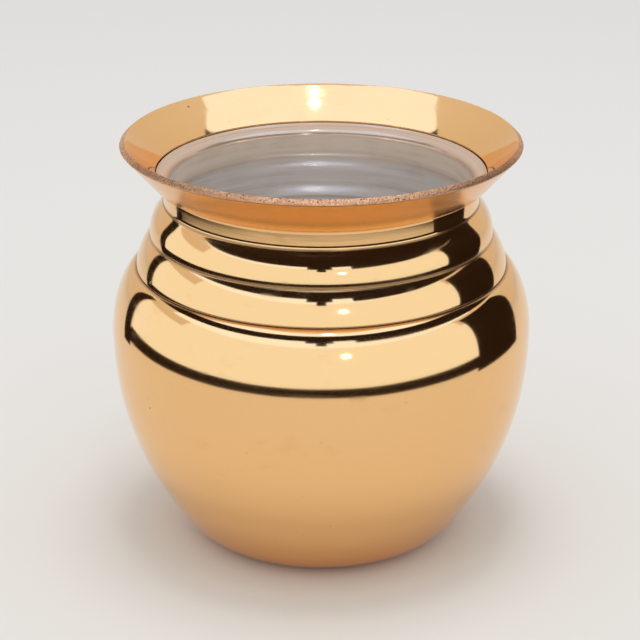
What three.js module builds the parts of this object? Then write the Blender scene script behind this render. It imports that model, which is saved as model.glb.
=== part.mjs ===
// A small round-bellied water pot of golden copper sheet, tinned inside.
// Two spun shells, a bowl and a flared collar, are lapped and brazed at the shoulder.
// Millimetres, +Z up, origin at the centre of the flat base. Every piece is turned about Z.
import * as THREE from "three";

// Driving dimensions: height and the outside radii from the base up.
const HEIGHT = 95;
const BASE_RADIUS = 19;
const BELLY_RADIUS = 48;
const BELLY_HEIGHT = 50;
const SEAM_RADIUS = 42.2;
const SEAM_HEIGHT = 65.6;
const GROOVE_RADIUS = 38.9; // the crisp line between the lower and the upper ring
const GROOVE_HEIGHT = 73.1;
const NECK_RADIUS = 35.6; // a short upright neck over the upper ring
const NECK_FOOT = 80.9;
const LEDGE_HEIGHT = 85.1; // the lip starts here as a narrow level ledge, then rises as a cone
const CONE_RADIUS = 38.2; // where the cone starts
const CONE_FOOT = 86.15;
const RIM_RADIUS = 45.1;

// Sheet metal.
const WALL = 0.9; // both shells
const LIP_WALL = 1.5; // the lip keeps the full thickness of the sheet, down to the lining's edge
const LINING = 0.4; // the tin coat, drawn thicker than it is
const GAP = 0.3; // clearance between pieces that touch
const SKIRT_RADIUS = SEAM_RADIUS - WALL; // the collar's plain end, inside the bowl's mouth
const SKIRT_DEPTH = 3.3;
const LIP_EDGE_DROP = 1; // the cut rim face leans outwards by this much over its width
const LINING_EDGE_RADIUS = 38.3; // beyond this the lip is bare metal

// Turning and curve resolution.
const SIDES = 60;
const CURVE_STEPS = 4;

const golden = { color: 0xd9a066, roughness: 0.2, metalness: 1 };
const silvery = { color: 0xc9c6c0, roughness: 0.3, metalness: 1 };
const solder = { color: 0xc79a4e, roughness: 0.4, metalness: 1 };

// The outline moved sideways by a distance, to the left of its direction, with mitred corners.
function offset(points, distance) {
  const sides = points.slice(1).map((p, i) => {
    const along = p.clone().sub(points[i]).normalize();
    return new THREE.Vector2(-along.y, along.x);
  });
  return points.map((p, i) => {
    const before = sides[Math.max(i - 1, 0)];
    const after = sides[Math.min(i, sides.length - 1)];
    const mitre = before.clone().add(after);
    return p.clone().addScaledVector(mitre, distance / (1 + before.dot(after)));
  });
}

// A closed ring or cup, turned from a closed outline of (radius, height) points.
function turned(name, outline, finish) {
  const first = outline[0];
  const closed = first.x === 0 ? outline : [...outline, first];
  const geometry = new THREE.LatheGeometry(closed, SIDES).rotateX(Math.PI / 2);
  const mesh = new THREE.Mesh(geometry, new THREE.MeshStandardMaterial(finish));
  mesh.name = name;
  return mesh;
}

// Outside of the bowl, from the middle of the base to its mouth at the seam.
function bowlOutside() {
  return new THREE.Path()
    .moveTo(0, 0)
    .lineTo(BASE_RADIUS, 0)
    .bezierCurveTo(30, 0, 31.6, 2.6, 36.5, 10.2)
    .bezierCurveTo(45.5, 24.2, BELLY_RADIUS, 38, BELLY_RADIUS, BELLY_HEIGHT)
    .bezierCurveTo(BELLY_RADIUS, 58.5, 44.6, 64.8, SEAM_RADIUS, SEAM_HEIGHT)
    .getPoints(CURVE_STEPS);
}

// Outside of the collar, from the foot of its skirt to the bottom edge of the rim.
function collarOutside() {
  const shelf = SEAM_HEIGHT + GAP;
  return new THREE.Path()
    .moveTo(SKIRT_RADIUS, SEAM_HEIGHT - SKIRT_DEPTH)
    .lineTo(SKIRT_RADIUS, shelf)
    .lineTo(SEAM_RADIUS, shelf)
    .bezierCurveTo(42, 68.2, 40.5, 71.4, GROOVE_RADIUS, GROOVE_HEIGHT)
    .bezierCurveTo(39, 76.4, 37.75, 78.1, NECK_RADIUS + 0.3, NECK_FOOT - 0.4)
    .quadraticCurveTo(NECK_RADIUS, NECK_FOOT, NECK_RADIUS, NECK_FOOT + 0.5)
    .lineTo(NECK_RADIUS + 0.12, LEDGE_HEIGHT - 0.5)
    .quadraticCurveTo(NECK_RADIUS + 0.14, LEDGE_HEIGHT, NECK_RADIUS + 0.7, LEDGE_HEIGHT)
    .quadraticCurveTo(CONE_RADIUS - 0.9, LEDGE_HEIGHT, CONE_RADIUS, CONE_FOOT)
    .lineTo(CONE_RADIUS + 0.3, CONE_FOOT + 0.34)
    .lineTo(RIM_RADIUS, HEIGHT - LIP_EDGE_DROP)
    .getPoints(CURVE_STEPS);
}

// The lip is the stretch of an outline above the ledge and outside the lining's edge.
function isLip(point) {
  return point.y > LEDGE_HEIGHT && point.x > LINING_EDGE_RADIUS;
}

function bowl() {
  const outside = bowlOutside();
  return turned("bowl", [...outside, ...offset(outside, WALL).reverse()], golden);
}

function collar() {
  const outside = collarOutside();
  const neck = offset(outside, WALL).filter((p, i) => !isLip(outside[i]));
  const lip = offset(outside, LIP_WALL).filter((p, i) => isLip(outside[i]));
  return turned("collar", [...outside, ...lip.reverse(), ...neck.reverse()], golden);
}

// The braze fillet fills the wedge between the collar's skirt and the underside of the shoulder.
function brazedSeam() {
  const inner = SKIRT_RADIUS + GAP;
  const foot = SEAM_HEIGHT - SKIRT_DEPTH + GAP;
  const section = [
    new THREE.Vector2(inner, foot),
    new THREE.Vector2(inner + 1.9, foot),
    new THREE.Vector2(inner, SEAM_HEIGHT - 1.3),
  ];
  return turned("brazed_seam", section, solder);
}

// The tin coat covers the whole inside: base, belly, seam, neck and the lower part of the lip.
function tinLining() {
  const underSeam = SEAM_HEIGHT - SKIRT_DEPTH - WALL;
  const belly = offset(bowlOutside(), WALL + GAP).filter((p) => p.y < underSeam);
  const outside = collarOutside();
  const neck = offset(outside, WALL + GAP).filter((p, i) => !isLip(outside[i]));
  const back = [...belly, new THREE.Vector2(SKIRT_RADIUS - WALL - GAP, underSeam), ...neck.slice(1)];
  return turned("tin_lining", [...back, ...offset(back, LINING).reverse()], silvery);
}

const kalash = new THREE.Group();
kalash.add(bowl(), collar(), brazedSeam(), tinLining());
export default kalash;
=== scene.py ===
"""A small golden copper water pot (kalash): bowl, collar, braze and tin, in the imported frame."""

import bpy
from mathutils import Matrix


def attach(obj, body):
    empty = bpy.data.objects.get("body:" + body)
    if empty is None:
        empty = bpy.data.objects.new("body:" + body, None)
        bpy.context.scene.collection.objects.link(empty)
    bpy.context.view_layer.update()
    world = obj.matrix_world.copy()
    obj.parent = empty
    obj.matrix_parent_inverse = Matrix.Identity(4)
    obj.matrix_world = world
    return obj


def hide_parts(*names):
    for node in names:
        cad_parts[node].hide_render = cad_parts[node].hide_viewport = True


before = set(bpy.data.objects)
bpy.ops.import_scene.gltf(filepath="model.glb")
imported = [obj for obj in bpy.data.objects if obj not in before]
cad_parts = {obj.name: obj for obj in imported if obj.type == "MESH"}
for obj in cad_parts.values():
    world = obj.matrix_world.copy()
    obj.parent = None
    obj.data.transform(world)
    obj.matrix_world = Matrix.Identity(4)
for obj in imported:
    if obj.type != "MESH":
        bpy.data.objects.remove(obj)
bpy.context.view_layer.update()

# ------------------------------------------------------------------------------------------
# Bowl. The lower shell, from the flat base over the belly to the crisp line at the shoulder.
# Golden copper sheet, spun on a lathe and polished while it turned, so that every fine mark
# runs round the pot. The collar is lapped into its mouth.
# ------------------------------------------------------------------------------------------
import math

import bmesh
import bpy
from mathutils import Matrix, Vector, noise
from mathutils.geometry import interpolate_bezier

MM = 0.001
WALL = 0.9
BASE_RADIUS = 19
BELLY_RADIUS = 48
BELLY_HEIGHT = 50
SEAM_RADIUS = 42.2
SEAM_HEIGHT = 65.6
HEIGHT = 95
RIM_RADIUS = 45.1
GROOVE_RADIUS = 38.9  # between the collar's two rings
GROOVE_HEIGHT = 73.1
NECK_RADIUS = 35.6  # the upright neck over the rings
NECK_FOOT = 80.9
LEDGE_HEIGHT = 85.1  # the narrow level ledge where the lip starts
CONE_RADIUS = 38.2  # where the lip turns into a cone
CONE_FOOT = 86.15
CONE_SINE = 0.757  # of the cone's slope, which is 49 degrees
CONE_COSINE = 0.653
SHELL_STEPS = 320
SECTORS = 8  # a full turn is spun as one sector and its copies
MERGE = 1e-7  # metres; much smaller than any face
CREASE = math.radians(28)

COPPER_BRIGHT = (0.95, 0.58, 0.265, 1)
# Red copper: the colour of the tarnish, and also the painted shade at the foot and under the lip.
TARNISH_AND_SHADE_RED = (0.80, 0.38, 0.13, 1)
# Brown: the colour of pits and dust, and also the painted shade in the creases and the painted shadow under
# the rim's sawn edge.
DIRT_AND_SHADE_BROWN = (0.30, 0.13, 0.05, 1)


def outline(start, *stretches):
    """Points (radius, height) in millimetres. A stretch is a point, or a curve: two handles, an end
    and a count of steps."""
    points = [Vector(start)]
    for stretch in stretches:
        if len(stretch) == 2:
            points.append(Vector(stretch))
        else:
            *handles_and_end, count = stretch
            ends = [points[-1]] + [Vector(p) for p in handles_and_end]
            points += interpolate_bezier(*ends, count + 1)[1:]
    return [Vector(p[:2]) for p in points]


def inset(points, distance):
    """The outline moved towards the inside of the pot by a distance, or by a function of the point."""
    reach = distance if callable(distance) else lambda p: distance
    sides = [Vector((a.y - b.y, b.x - a.x)).normalized() for a, b in zip(points, points[1:])]
    moved = []
    for point, before, after in zip(points, [sides[0]] + sides, sides + [sides[-1]]):
        moved.append(point + (before + after) * reach(point) / (1 + before.dot(after)))
    return moved


def turned(section, steps, round_off=0.0, closed=True):
    """A section of (radius, height) points turned once about the pot's axis, its creases rounded off.
    One sector is spun and then copied round, which is much quicker than one full spin."""
    metal = bmesh.new()
    corners = [metal.verts.new((p[0] * MM, 0, p[1] * MM)) for p in section]
    after = corners[1:] + (corners[:1] if closed else [])
    edges = [metal.edges.new(pair) for pair in zip(corners, after)]
    bmesh.ops.spin(
        metal, geom=corners + edges, axis=(0, 0, 1), cent=(0, 0, 0),
        angle=math.tau / SECTORS, steps=steps // SECTORS, use_duplicate=False,
    )
    sector = metal.verts[:] + metal.edges[:] + metal.faces[:]
    for turn in range(1, SECTORS):
        copy = bmesh.ops.duplicate(metal, geom=sector)["geom"]
        moved = [part for part in copy if isinstance(part, bmesh.types.BMVert)]
        turn_by = Matrix.Rotation(math.tau * turn / SECTORS, 3, "Z")
        bmesh.ops.rotate(metal, verts=moved, cent=(0, 0, 0), matrix=turn_by)
    bmesh.ops.remove_doubles(metal, verts=metal.verts, dist=MERGE)
    bmesh.ops.dissolve_degenerate(metal, dist=MERGE / 10, edges=metal.edges)
    bmesh.ops.recalc_face_normals(metal, faces=metal.faces)
    if round_off:
        joined = [e for e in metal.edges if len(e.link_faces) == 2]
        creases = [e for e in joined if e.calc_face_angle(0) > CREASE]
        bmesh.ops.bevel(
            metal, geom=creases, offset=round_off * MM, offset_type="OFFSET", affect="EDGES",
            segments=3, profile=0.5, material=-1, clamp_overlap=True,
        )
    return metal


def finished(metal, name, slot, node, *coats):
    """Closes a piece: it becomes an object with its finishes and stands for its CAD node."""
    mesh = bpy.data.meshes.new(name)
    metal.to_mesh(mesh)
    metal.free()
    mesh.shade_smooth()
    mesh.set_sharp_from_angle(angle=CREASE)
    for coat in coats:
        mesh.materials.append(coat)
    piece = bpy.data.objects.new(name, mesh)
    bpy.context.scene.collection.objects.link(piece)
    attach(piece, "root")
    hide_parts(node)


class Channel:
    """A socket of a finish that is being mixed. Arithmetic on it adds Math nodes."""

    def __init__(self, finish, socket):
        self.finish = finish
        self.socket = socket

    def maths(self, operation, *others):
        sockets = dict(enumerate((self, *others)))
        return self.finish.node("ShaderNodeMath", {"operation": operation}, sockets)

    def __add__(self, other):
        return self.maths("ADD", other)

    def __sub__(self, other):
        return self.maths("SUBTRACT", other)

    def __rsub__(self, other):
        return self.maths("MULTIPLY_ADD", -1.0, other)

    def __mul__(self, other):
        return self.maths("MULTIPLY", other)

    def __truediv__(self, other):
        return self.maths("DIVIDE", other)

    __radd__ = __add__
    __rmul__ = __mul__

    def between(self, low, high):
        """0 at low, 1 at high, smooth between them."""
        return self.finish.node(
            "ShaderNodeMapRange",
            {"interpolation_type": "SMOOTHSTEP", "clamp": True},
            {"Value": self, "From Min": low, "From Max": high},
        )

    def near(self, centre, width):
        """1 at a value, falling to 0 at a width from it."""
        return (self - centre).maths("ABSOLUTE").between(width, 0)


class Finish:
    """A material or a world that is being mixed. node() adds any node."""

    def __init__(self, owner):
        owner.use_nodes = True
        self.owner = owner
        self.tree = owner.node_tree
        self.tree.nodes.clear()

    def node(self, kind, settings=None, sockets=None, out=0):
        """Adds a node: its settings first, then values or links for its sockets. Returns one output."""
        made = self.tree.nodes.new(kind)
        for name, value in (settings or {}).items():
            setattr(made, name, value)
        for key, value in (sockets or {}).items():
            if isinstance(value, Channel):
                self.tree.links.new(value.socket, made.inputs[key])
            else:
                made.inputs[key].default_value = value
        return Channel(self, made.outputs[out]) if made.outputs else None

    def blend(self, mask, under, over):
        """One colour over another, where the mask is 1."""
        return self.node(
            "ShaderNodeMix", {"data_type": "RGBA"}, {0: mask, 6: under, 7: over}, out=2
        )

    def place(self):
        """Where a point is: its place, height and radius in millimetres, then its direction."""
        here = self.node("ShaderNodeTexCoord", out="Object")
        millimetres = self.node("ShaderNodeVectorMath", {"operation": "SCALE"}, {0: here, "Scale": 1 / MM})
        split = self.node("ShaderNodeSeparateXYZ", None, {0: millimetres})
        x, y, height = (Channel(self, socket) for socket in split.socket.node.outputs)
        radius = (x * x + y * y).maths("SQRT")
        safe = radius.maths("MAXIMUM", 0.5)
        return millimetres, height, radius, x / safe, y / safe

    def turning_marks(self, height, radius, east, north, fineness, length, detail=3.0):
        """Noise drawn out round the axis, as a tool or a polishing mop leaves it."""
        vector = self.node(
            "ShaderNodeCombineXYZ", None, {0: east * length, 1: north * length, 2: height * fineness}
        )
        return self.node(
            "ShaderNodeTexNoise",
            {"noise_dimensions": "4D"},
            {"Vector": vector, "W": radius * fineness, "Scale": 1.0, "Detail": detail, "Roughness": 0.6},
        )

    def grain(self, where, scale, detail=2.0, roughness=0.5):
        """Plain noise, its scale in features per millimetre."""
        return self.node(
            "ShaderNodeTexNoise",
            {"noise_dimensions": "3D"},
            {"Vector": where, "Scale": scale, "Detail": detail, "Roughness": roughness},
        )

    def specks(self, where, scale, size, share):
        """Sparse round spots: the cells of a Voronoi pattern that draw a high number."""
        sockets = {"Vector": where, "Scale": scale}
        cell = self.node("ShaderNodeTexVoronoi", {"voronoi_dimensions": "3D"}, sockets, out="Distance")
        drawn = self.node(
            "ShaderNodeSeparateColor", None, {0: Channel(self, cell.socket.node.outputs["Color"])}
        )
        return cell.between(size, size * 0.5) * drawn.between(1 - share, 1 - share + 0.01)

    def bump(self, height, distance):
        """A normal from a height; the distance is in millimetres."""
        sockets = {"Strength": 1.0, "Distance": distance * MM, "Height": height}
        return self.node("ShaderNodeBump", None, sockets)

    def shade(self, **sockets):
        """Ends the material with one metal shader."""
        named = {key.replace("_", " "): value for key, value in sockets.items()}
        shader = self.node("ShaderNodeBsdfPrincipled", None, named)
        self.node("ShaderNodeOutputMaterial", None, {"Surface": shader})
        return self.owner


def polished_copper():
    """Mirror-polished golden copper: fine lines round it, a few pits, dust, a breath of red tarnish,
    painted shade in the sharp creases and a painted shadow under the rim's edge.
    It is painted redder towards the foot and under the lip as painted shade; the lip's underside is also
    rougher, as the mop hardly reaches it."""
    mix = Finish(bpy.data.materials.new("polished_copper"))
    where, height, radius, east, north = mix.place()
    fine = mix.turning_marks(height, radius, east, north, 3.2, 2.2)
    coarse = mix.turning_marks(height, radius, east, north, 0.5, 1.1, 2.0)
    waves = mix.grain(where, 0.045, 1.0)
    cloud = mix.grain(where, 0.09, 3.0, 0.6)
    pits = mix.specks(where, 0.16, 0.06, 0.1)
    dust = mix.specks(where, 0.5, 0.11, 0.06)
    streaks = mix.turning_marks(height, radius, east, north, 0.35, 5.0, 4.0)
    tarnish = (streaks * cloud).between(0.3, 0.46)
    # Painted shade: the copper is painted redder towards the foot, for the contact shade and the floor's
    # reflection there.
    foot_shade = height.between(16, 0)

    out_of_cone = (radius - CONE_RADIUS) * CONE_SINE - (height - CONE_FOOT) * CONE_COSINE
    # Painted shade: the lip's underside is painted redder. The same mask also makes it rougher.
    under_lip_shade_and_dullness = out_of_cone.between(-1.3, -1.0) * height.between(LEDGE_HEIGHT - 0.2, LEDGE_HEIGHT + 0.1)
    under_edge = out_of_cone.between(-0.3, -0.1) * radius.between(RIM_RADIUS - 1.1, RIM_RADIUS - 0.7)
    # Painted shadow: a dark line just under the rim's sawn edge.
    rim_edge_shadow = height.near(HEIGHT - 1.28, 0.2) * under_edge
    # Painted shade: dark lines in the creases at the ledge, the neck's foot, the groove and the seam.
    ledge_crease_shade = height.near(LEDGE_HEIGHT - 0.1, 0.4) * radius.between(NECK_RADIUS + 0.6, NECK_RADIUS + 0.3)
    neck_crease_shade = height.near(NECK_FOOT - 0.1, 0.45) * radius.between(NECK_RADIUS + 0.7, NECK_RADIUS + 0.5)
    groove_side = radius.between(GROOVE_RADIUS - 0.4, GROOVE_RADIUS - 0.2)
    groove_crease_shade = height.near(GROOVE_HEIGHT + 0.2, 0.7) * groove_side
    seam_crease_shade = height.near(SEAM_HEIGHT + 0.1, 0.5) * radius.between(SEAM_RADIUS - 0.9, SEAM_RADIUS - 0.6)

    # Real pits and dust, together with the painted shade and shadow lines, darken the copper and roughen
    # it.
    dirt_and_crease_shade = pits * 0.9
    lines = (ledge_crease_shade * 0.6, seam_crease_shade * 0.8, neck_crease_shade * 0.8, groove_crease_shade * 0.7, rim_edge_shadow)
    for more in (dust * 0.45, *lines):
        dirt_and_crease_shade = dirt_and_crease_shade.maths("MAXIMUM", more)
    colour = mix.blend(tarnish * 0.2, COPPER_BRIGHT, TARNISH_AND_SHADE_RED)
    colour = mix.blend(foot_shade * 0.8, colour, TARNISH_AND_SHADE_RED)
    colour = mix.blend(under_lip_shade_and_dullness * 0.55, colour, TARNISH_AND_SHADE_RED)
    colour = mix.blend(dirt_and_crease_shade, colour, DIRT_AND_SHADE_BROWN)
    rough = 0.055 + fine * 0.04 + coarse.between(0.5, 0.75) * 0.05
    rough = rough + tarnish * 0.08 + dirt_and_crease_shade * 0.3 + under_lip_shade_and_dullness * 0.1
    relief = fine * 0.0009 + coarse * 0.003 + waves * 0.05 - pits * 0.02
    return mix.shade(
        Base_Color=colour,
        Metallic=1.0,
        Roughness=rough,
        Anisotropic=0.3,
        Anisotropic_Rotation=0.25,
        Normal=mix.bump(relief, 1.0),
    )


golden_copper = polished_copper()

bowl_outside = outline(
    (0, 0),
    (6, 0),
    (12, 0),
    (BASE_RADIUS, 0),
    ((30, 0), (31.6, 2.6), (36.5, 10.2), 26),
    ((45.5, 24.2), (BELLY_RADIUS, 38), (BELLY_RADIUS, BELLY_HEIGHT), 44),
    ((BELLY_RADIUS, 58.5), (44.6, 64.8), (SEAM_RADIUS, SEAM_HEIGHT), 36),
)
bowl_section = bowl_outside + inset(bowl_outside, WALL)[::-1]
bowl_metal = turned(bowl_section, SHELL_STEPS, round_off=0.08, closed=False)
finished(bowl_metal, "bowl_shell", "golden_copper", "bowl", golden_copper)

# ------------------------------------------------------------------------------------------
# Collar. The upper shell: two rings, a short upright neck, a level ledge and a flared lip.
# Spun from the same sheet. The lip keeps the sheet's full thickness, and its sawn edge is
# left rough. A plain skirt goes down into the bowl's mouth.
# ------------------------------------------------------------------------------------------
LIP_WALL = 1.5
LIP_EDGE_DROP = 1.0
LIP_EDGE_HEIGHT = HEIGHT - LIP_EDGE_DROP  # the lower edge of the rim's sawn face
SKIRT_RADIUS = SEAM_RADIUS - WALL
SKIRT_DEPTH = 3.3
TIN_LINE_RADIUS = 38.3
COLLAR_STEPS = 448
LAP = 0.06  # what is left open at the line between the shells
RAW_FACE = 1  # the second finish of the collar
RAW_DEPTH = 0.12
RAW_WIDTH = 1.6
RAW_OVERLAP = 0.2

RAW_LIGHT = (0.97, 0.58, 0.33, 1)
RAW_MID = (0.60, 0.27, 0.13, 1)
RAW_DARK = (0.12, 0.05, 0.025, 1)


def raw_copper():
    """The sawn edge of the rim: coarse, pitted and never polished."""
    mix = Finish(bpy.data.materials.new("raw_copper_edge"))
    where = mix.place()[0]
    saw = mix.grain(where, 2.6, 3.0, 0.65)
    patches = mix.grain(where, 0.12, 2.0)
    pits = mix.specks(where, 1.7, 0.36, 0.4)
    colour = mix.blend(saw.between(0.38, 0.6), RAW_MID, RAW_LIGHT)
    colour = mix.blend(patches.between(0.5, 0.7) * 0.5, colour, RAW_MID)
    colour = mix.blend(pits * 0.85, colour, RAW_DARK)
    return mix.shade(
        Base_Color=colour,
        Metallic=1.0,
        Roughness=0.26 + saw * 0.2 + pits * 0.2,
        Normal=mix.bump(saw * 0.12 - pits * 0.1, 1.0),
    )


ring_outside = outline(
    (SEAM_RADIUS, SEAM_HEIGHT + LAP),
    ((42, 68.2), (40.5, 71.4), (GROOVE_RADIUS, GROOVE_HEIGHT), 30),
    ((39, 76.4), (37.75, 78.1), (NECK_RADIUS + 0.3, NECK_FOOT - 0.4), 30),
    (
        (NECK_RADIUS + 0.1, NECK_FOOT - 0.13),
        (NECK_RADIUS, NECK_FOOT + 0.17),
        (NECK_RADIUS, NECK_FOOT + 0.5),
        6,
    ),
    (
        (NECK_RADIUS + 0.04, NECK_FOOT + 1.6),
        (NECK_RADIUS + 0.08, LEDGE_HEIGHT - 1.6),
        (NECK_RADIUS + 0.12, LEDGE_HEIGHT - 0.5),
        8,
    ),
    (
        (NECK_RADIUS + 0.13, LEDGE_HEIGHT - 0.17),
        (NECK_RADIUS + 0.33, LEDGE_HEIGHT),
        (NECK_RADIUS + 0.7, LEDGE_HEIGHT),
        6,
    ),
    (
        (CONE_RADIUS - 1.23, LEDGE_HEIGHT),
        (CONE_RADIUS - 0.6, CONE_FOOT - 0.7),
        (CONE_RADIUS, CONE_FOOT),
        10,
    ),
    (CONE_RADIUS + 0.3, CONE_FOOT + 0.34),
    (RIM_RADIUS - 2.5, LIP_EDGE_HEIGHT - 2.84),
    (RIM_RADIUS - 0.4, LIP_EDGE_HEIGHT - 0.455),
    (RIM_RADIUS, LIP_EDGE_HEIGHT),
)


def collar_wall(point):
    """The lip keeps the full thickness of the sheet; the rest is thinner."""
    return LIP_WALL if point.y > LEDGE_HEIGHT and point.x > TIN_LINE_RADIUS else WALL


skirt_outside = outline(
    (SKIRT_RADIUS, SEAM_HEIGHT - SKIRT_DEPTH), (SKIRT_RADIUS, SEAM_HEIGHT + LAP + 0.1)
)
skirt_inside = outline(
    (SKIRT_RADIUS - WALL, SEAM_HEIGHT + WALL + LAP), (SKIRT_RADIUS - WALL, SEAM_HEIGHT - SKIRT_DEPTH)
)
collar_section = skirt_outside + ring_outside + inset(ring_outside, collar_wall)[::-1] + skirt_inside
collar_metal = turned(collar_section, COLLAR_STEPS, round_off=0.08)
rim_inner = Vector((RIM_RADIUS - LIP_WALL * CONE_SINE, LIP_EDGE_HEIGHT + LIP_WALL * CONE_COSINE))
rim_outer = Vector((RIM_RADIUS, LIP_EDGE_HEIGHT))
sawn_way = (rim_inner - rim_outer).normalized()
for face in collar_metal.faces:
    middle = face.calc_center_median() / MM
    reach = Vector((math.hypot(middle.x, middle.y), middle.z)) - rim_outer
    along = reach.dot(sawn_way)
    depth = (reach - sawn_way * along).length
    if depth < RAW_DEPTH and -RAW_OVERLAP < along < RAW_WIDTH:
        face.material_index = RAW_FACE
sawn_faces = [face for face in collar_metal.faces if face.material_index == RAW_FACE]
for vertex in {v for face in sawn_faces for v in face.verts}:
    here = vertex.co / MM
    roughness = noise.noise(here * 1.1) * 0.04 + noise.noise(here * 0.25) * 0.03
    vertex.co += vertex.normal * roughness * MM
finished(collar_metal, "collar_shell", "golden_copper", "collar", golden_copper, raw_copper())

# ------------------------------------------------------------------------------------------
# Braze. A run of yellow spelter in the wedge between the skirt and the underside of the
# shoulder. It is hidden between the shells, was run in from below and is left as it froze.
# ------------------------------------------------------------------------------------------
BRAZE_STEPS = 160
BRAZE_RIPPLE = 0.12
BRAZE_GAP = 0.2
BRAZE_YELLOW = (0.80, 0.60, 0.28, 1)
BRAZE_DULL = (0.62, 0.42, 0.17, 1)
BRAZE_CRUST = (0.16, 0.09, 0.05, 1)


def run_braze():
    """Yellow spelter, dull and slightly crusted."""
    mix = Finish(bpy.data.materials.new("run_braze"))
    where = mix.place()[0]
    flow = mix.grain(where, 0.35, 4.0, 0.6)
    crust = mix.grain(where, 1.4, 2.0)
    colour = mix.blend(flow, BRAZE_DULL, BRAZE_YELLOW)
    colour = mix.blend(crust.between(0.6, 0.72) * 0.6, colour, BRAZE_CRUST)
    return mix.shade(
        Base_Color=colour,
        Metallic=1.0,
        Roughness=0.35 + crust * 0.3,
        Normal=mix.bump(flow * 0.1 + crust * 0.03, 1.0),
    )


braze_wall = SKIRT_RADIUS + BRAZE_GAP
braze_foot = SEAM_HEIGHT - SKIRT_DEPTH + 0.4
braze_section = outline(
    (braze_wall, braze_foot),
    (
        (braze_wall + 0.5, braze_foot + 0.25),
        (braze_wall + 1, braze_foot + 0.2),
        (braze_wall + 1.6, braze_foot),
        8,
    ),
    (
        (braze_wall + 1.1, braze_foot + 0.6),
        (braze_wall + 0.4, braze_foot + 1.2),
        (braze_wall, SEAM_HEIGHT - 1.5),
        8,
    ),
)
braze_metal = turned(braze_section, BRAZE_STEPS)
for vertex in braze_metal.verts:
    vertex.co.z += noise.noise(vertex.co / MM * 0.3) * BRAZE_RIPPLE * MM
finished(braze_metal, "braze_run", "braze", "brazed_seam", run_braze())

# ------------------------------------------------------------------------------------------
# Tin. The silvery coat over the whole inside, wiped on hot so that the pot can hold water
# and food. It stops in a clean line on the lip, where its edge laps a little over the copper.
# ------------------------------------------------------------------------------------------
TIN_BACK = 1.2  # depths below the outside of the copper
TIN_FACE = 1.53
TIN_STEPS = 320

TIN_CLEAN = (0.98, 0.86, 0.74, 1)
TIN_WARM = (0.62, 0.50, 0.41, 1)
# Cool pale tin: a painted reflection of the light over the mouth, used deep inside.
TIN_COOL_REFLECTION = (0.94, 0.91, 0.89, 1)
TIN_WORN = (0.66, 0.50, 0.39, 1)
TIN_GREY = (0.40, 0.37, 0.34, 1)


def wiped_tin():
    """Satin tin, wiped round while hot: worn and coppery at its edge on the lip, and painted cooler and
    paler deep inside, as a painted reflection of the light over the mouth.
    """
    mix = Finish(bpy.data.materials.new("wiped_tin"))
    where, height, radius, east, north = mix.place()
    wipe = mix.turning_marks(height, radius, east, north, 0.9, 1.4, 4.0)
    fine = mix.turning_marks(height, radius, east, north, 2.6, 2.0)
    patches = mix.grain(where, 0.06, 3.0, 0.6)
    # Painted reflection: below about 78 mm the tin is painted cooler and paler.
    colour = mix.blend(height.between(79.5, 77.5), TIN_CLEAN, TIN_COOL_REFLECTION)
    edge = height.between(LEDGE_HEIGHT - 0.9, LEDGE_HEIGHT + 0.3)
    colour = mix.blend(edge, colour, TIN_WORN)
    colour = mix.blend((patches * wipe).between(0.22, 0.36) * 0.3, colour, TIN_WARM)
    colour = mix.blend(mix.specks(where, 0.3, 0.1, 0.1) * 0.5, colour, TIN_GREY)
    return mix.shade(
        Base_Color=colour,
        Metallic=0.5,
        Roughness=0.12 + wipe * 0.08 + fine * 0.04,
        Anisotropic=0.5,
        Anisotropic_Rotation=0.25,
        Normal=mix.bump(fine * 0.0015 + wipe * 0.006 + patches * 0.05, 1.0),
    )


under_seam = SEAM_HEIGHT - SKIRT_DEPTH - WALL
tinned_ring = [p for p in ring_outside if not (p.y > LEDGE_HEIGHT and p.x > TIN_LINE_RADIUS)]


def tin_side(depth):
    """One face of the coat, at a depth below the outside of the copper, from the base up to the lip."""
    belly = [p for p in inset(bowl_outside, depth) if p.y < under_seam]
    step = SKIRT_RADIUS - WALL - (depth - WALL)
    over_skirt = outline(
        (step, under_seam - (depth - TIN_BACK)), (step, SEAM_HEIGHT + WALL + LAP + depth - WALL)
    )
    return belly + over_skirt + inset(tinned_ring, depth)[1:]


tin_metal = turned(
    tin_side(TIN_BACK) + tin_side(TIN_FACE)[::-1], TIN_STEPS, round_off=0.1, closed=False
)
finished(tin_metal, "tin_coat", "tin", "tin_lining", wiped_tin())

# ------------------------------------------------------------------------------------------
# Studio. A plain pale floor and a plain soft white light all round. Soft walls, and dark flags
# between them, are seen only by reflections: they draw the bright and dark bands on the metal.
# ------------------------------------------------------------------------------------------
FLOOR_PALE = (0.80, 0.79, 0.77, 1)
FLOOR_REACH = 4  # metres
AIR_WHITE = (0.80, 0.80, 0.80, 1)
AIR_WARM = (0.72, 0.66, 0.58, 1)
BACKDROP = (0.72, 0.70, 0.67, 1)
CAMERA_PLACE = (-0.0003, -0.450, 0.2320)
CAMERA_TILT = 0.383
CAMERA_LENS = 117.9

# Radii of the cards round the pot and their range of heights, in millimetres.
WALL_AWAY = 420
WALL_SPLIT = 330
SIDE_WALL_TOP = 230
FRONT_WALL_TOP = 1500
FLAG_AWAY = 200
FLAG_TOP = 165
HOOP_AWAY = 100
HOOP_SPAN = (127, 178)
JUST_OVER_FLOOR = 0.6
CARD_STEP = 3  # degrees


def glow(name, colour, strength):
    """The finish of a card that shines evenly."""
    mix = Finish(bpy.data.materials.new(name))
    light = mix.node("ShaderNodeEmission", None, {"Color": colour, "Strength": strength})
    mix.node("ShaderNodeOutputMaterial", None, {"Surface": light})
    mix.owner.cycles.emission_sampling = "NONE"
    return mix.owner


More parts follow.
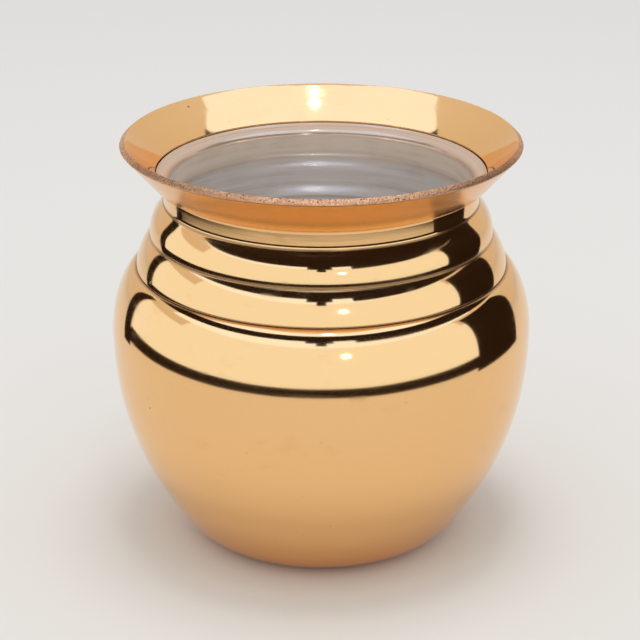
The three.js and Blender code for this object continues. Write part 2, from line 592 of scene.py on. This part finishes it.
def card(name, ends, start, sweep, coat):
    """A card that only reflections see: a line between two (radius, height) ends, swept round the
    pot from a start, in degrees from the camera's side towards +X."""
    shape = bmesh.new()
    corners = [shape.verts.new((0, -r * MM, z * MM)) for r, z in ends]
    line = [shape.edges.new(pair) for pair in zip(corners, corners[1:])]
    turn_by = Matrix.Rotation(math.radians(start), 3, "Z")
    bmesh.ops.rotate(shape, verts=corners, cent=(0, 0, 0), matrix=turn_by)
    bmesh.ops.spin(
        shape, geom=corners + line, axis=(0, 0, 1), cent=(0, 0, 0),
        angle=math.radians(sweep), steps=max(4, int(sweep / CARD_STEP)),
    )
    mesh = bpy.data.meshes.new(name)
    shape.to_mesh(mesh)
    shape.free()
    mesh.materials.append(coat)
    placed = bpy.data.objects.new(name, mesh)
    bpy.context.scene.collection.objects.link(placed)
    placed.visible_camera = False
    placed.visible_diffuse = False
    placed.visible_shadow = False


floor_mesh = bmesh.new()
bmesh.ops.create_grid(floor_mesh, x_segments=1, y_segments=1, size=FLOOR_REACH)
floor_data = bpy.data.meshes.new("floor")
floor_mesh.to_mesh(floor_data)
floor_mesh.free()
floor = bpy.data.objects.new("floor", floor_data)
bpy.context.scene.collection.objects.link(floor)
paper = Finish(bpy.data.materials.new("pale_paper"))
matt = paper.shade(Base_Color=FLOOR_PALE, Roughness=0.9, Specular_IOR_Level=0.0)
floor_data.materials.append(matt)

flag = glow("black_flag", (0.02, 0.012, 0.008, 1), 1.0)
low_panel = glow("soft_wall_low", (0.97, 1.10, 1.22, 1), 1.03)
high_panel = glow("soft_wall_high", (1.0, 1.22, 1.62, 1), 1.12)
low_front = [(WALL_AWAY, 1), (WALL_AWAY, WALL_SPLIT)]
high_front = [(WALL_AWAY, WALL_SPLIT), (WALL_AWAY, FRONT_WALL_TOP)]
low_side = [(WALL_AWAY, 1), (WALL_AWAY, SIDE_WALL_TOP)]
card("soft_wall_front", low_front, -84, 168, low_panel)
card("soft_wall_top", high_front, -103, 206, high_panel)
card("soft_wall_left", low_side, -118, 34, low_panel)
card("soft_wall_right", low_side, 84, 34, low_panel)

hoop = [(HOOP_AWAY, z) for z in HOOP_SPAN]
strip = [(226, JUST_OVER_FLOOR), (412, JUST_OVER_FLOOR)]
upright = [(FLAG_AWAY, JUST_OVER_FLOOR), (FLAG_AWAY, FLAG_TOP)]
card("hoop_flag", hoop, -118, 236, flag)
card("floor_flag", strip, -118, 236, flag)
card("left_flag", upright, -121, 8, flag)
card("right_flag", upright, 82, 36, flag)
card("head_flag", [(HOOP_AWAY - 2, 106), (HOOP_AWAY - 2, 130)], -2.5, 5, flag)
card("shoulder_flag", [(HOOP_AWAY - 1, 116), (HOOP_AWAY - 1, 130)], -8, 14, flag)
card("beam_flag", [(HOOP_AWAY - 1, 115), (HOOP_AWAY - 1, 130)], 17, 100, flag)

world = bpy.data.worlds.new("soft_studio")
bpy.context.scene.world = world
air = Finish(world)
ray = air.node("ShaderNodeLightPath", out="Is Camera Ray")
toward = air.node("ShaderNodeTexCoord", out="Generated")
up = air.node("ShaderNodeSeparateXYZ", None, {0: toward}, out="Z")
mirrored = air.node("ShaderNodeLightPath", out="Is Glossy Ray")
tone = air.blend(up.between(0.1, 0.9), AIR_WARM, AIR_WHITE)
light = air.blend(mirrored, AIR_WHITE, tone)
seen = air.blend(ray, light, BACKDROP)
sky = air.node("ShaderNodeBackground", None, {"Color": seen, "Strength": 1.0})
air.node("ShaderNodeOutputWorld", None, {"Surface": sky})


def lamp(name, place, aim, size, power):
    """A round soft white lamp."""
    data = bpy.data.lights.new(name, "AREA")
    data.shape = "DISK"
    data.size = size
    data.energy = power
    placed = bpy.data.objects.new(name, data)
    placed.location = place
    placed.rotation_euler = (Vector(aim) - Vector(place)).to_track_quat("-Z", "Y").to_euler()
    placed.visible_camera = False
    bpy.context.scene.collection.objects.link(placed)
    return placed


top_lamp = lamp("top_lamp", (0.02, 0.02, 0.90), (0, 0, 0.03), 0.30, 1.7)
top_lamp.visible_glossy = False
lamp("lip_lamp", (0.03, -0.22, 0.63), (0, 0.04, 0.09), 0.04, 0.08)
lamp("front_lamp", (0.09, -0.39, 0.215), (0, 0, 0.07), 0.03, 0.035)

view = bpy.data.cameras.new("view")
view.lens = CAMERA_LENS
view.sensor_width = 36
camera = bpy.data.objects.new("view", view)
camera.location = CAMERA_PLACE
camera.rotation_euler = (math.pi / 2 - CAMERA_TILT, 0, 0)
bpy.context.scene.collection.objects.link(camera)
bpy.context.scene.camera = camera
bpy.context.scene.view_settings.view_transform = "Standard"
bpy.context.scene.cycles.glossy_bounces = 10
